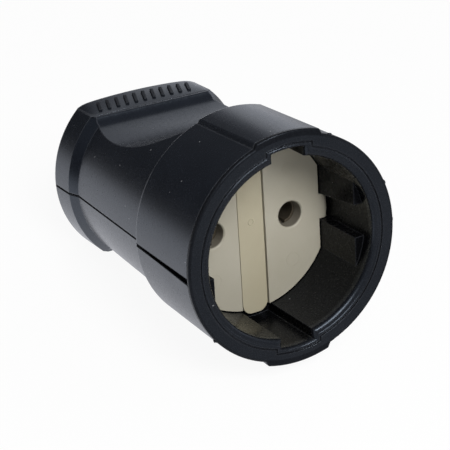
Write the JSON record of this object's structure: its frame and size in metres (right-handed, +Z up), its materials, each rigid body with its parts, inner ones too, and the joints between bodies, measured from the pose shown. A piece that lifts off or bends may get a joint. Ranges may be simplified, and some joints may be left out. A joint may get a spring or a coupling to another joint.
{
  "type": "inline socket connector",
  "caption": "Inline socket connector: round recessed mouth with two pin holes, ribbed finger scoops and a rear cable inlet.",
  "frame": {"origin": "on the floor under the middle of the connector's box, as it lies", "axes": "+X across the mouth from the left pin hole to the right one, +Y from the mouth towards the cable end, +Z up; the connector lies with its axis about 11 degrees nose up"},
  "size_m": [0.0484, 0.0728, 0.0528],
  "materials": {
    "housing_black": "satin",
    "socket_black": "satin",
    "block_beige": "satin",
    "bar_beige": "satin",
    "clamp_grey": "matte",
    "rubber_black": "matte",
    "brass": "satin",
    "screw_steel": "satin"
  },
  "bodies": {
    "root": {"upper_shell": "housing_black", "lower_shell": "housing_black", "socket_body": "socket_black", "contact_block": "block_beige", "centre_bar": "bar_beige", "block_cover": "block_beige", "block_screw": "screw_steel", "cable_clamp": "clamp_grey", "inlet_grommet": "rubber_black", "contact_sleeve_left": "brass", "contact_spring_left": "screw_steel", "terminal_left": "brass", "terminal_screw_left": "screw_steel", "clamp_screw_left": "screw_steel", "housing_screw_left": "screw_steel", "contact_sleeve_right": "brass", "contact_spring_right": "screw_steel", "terminal_right": "brass", "terminal_screw_right": "screw_steel", "clamp_screw_right": "screw_steel", "housing_screw_right": "screw_steel"}
  },
  "joints": []
}
